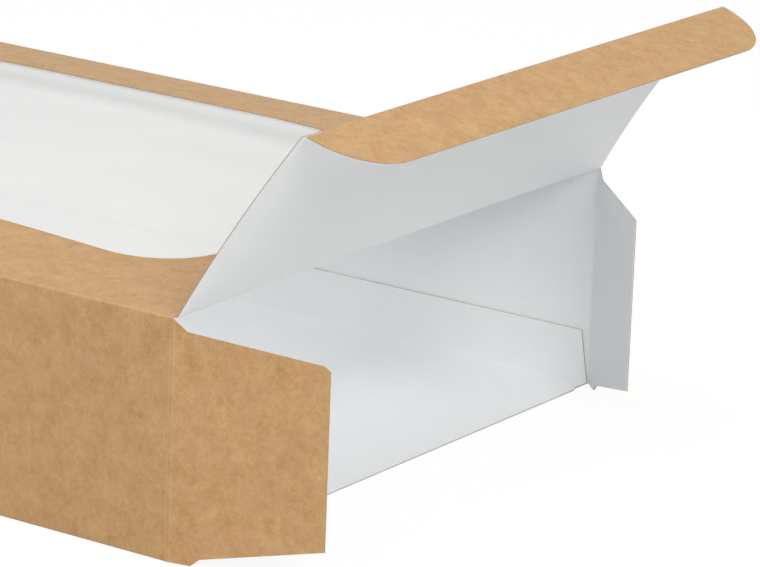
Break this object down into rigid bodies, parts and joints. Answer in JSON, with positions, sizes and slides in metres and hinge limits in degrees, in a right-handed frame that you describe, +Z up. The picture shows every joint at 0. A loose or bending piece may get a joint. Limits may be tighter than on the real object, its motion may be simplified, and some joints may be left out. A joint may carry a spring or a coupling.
{
  "type": "sandwich platter box",
  "caption": "Shallow folded kraft board box for carrying and showing sandwiches, with a clear window in its top, a raised tuck-in end lid and its dust flaps open.",
  "frame": {"origin": "middle of the base's underside, on the surface that the box stands on", "axes": "+Z up; +Y along the length, from the open end towards the closed one; +X across, towards the wall that carries the glued seam"},
  "size_m": [0.252, 0.4294, 0.1486],
  "materials": {
    "kraft_board": "uncoated, slightly mottled kraft outside and smooth white inside",
    "window_film": "clear glossy film"
  },
  "bodies": {
    "carton": {"carton_sleeve": "kraft_board", "window_film": "window_film"},
    "front_lid": {"front_lid": "kraft_board"},
    "front_tuck_tab": {"front_tuck_tab": "kraft_board"},
    "left_dust_flap": {"left_dust_flap": "kraft_board"},
    "right_dust_flap": {"right_dust_flap": "kraft_board"},
    "rear_lid": {"rear_lid": "kraft_board"}
  },
  "joints": [
    {"name": "front_lid_hinge", "type": "hinge", "parent": "carton", "child": "front_lid", "pos_m": [0, -0.1795, 0.082], "axis": [-1, 0, 0], "range_deg": [-60.9, 109.6]},
    {"name": "front_tab_fold", "type": "hinge", "parent": "front_lid", "child": "front_tuck_tab", "pos_m": [0, -0.22616, 0.14845], "axis": [1, 0, 0], "range_deg": [-74, 26]},
    {"name": "left_flap_hinge", "type": "hinge", "parent": "carton", "child": "left_dust_flap", "pos_m": [-0.12575, -0.1786, 0.04], "axis": [0, 0, 1], "range_deg": [-101.2, 78.8]},
    {"name": "right_flap_hinge", "type": "hinge", "parent": "carton", "child": "right_dust_flap", "pos_m": [0.12575, -0.1786, 0.04], "axis": [0, 0, -1], "range_deg": [-134.2, 45.8]},
    {"name": "rear_lid_hinge", "type": "hinge", "parent": "carton", "child": "rear_lid", "pos_m": [0, 0.1795, 0.082], "axis": [1, 0, 0], "range_deg": [0, 250]}
  ]
}
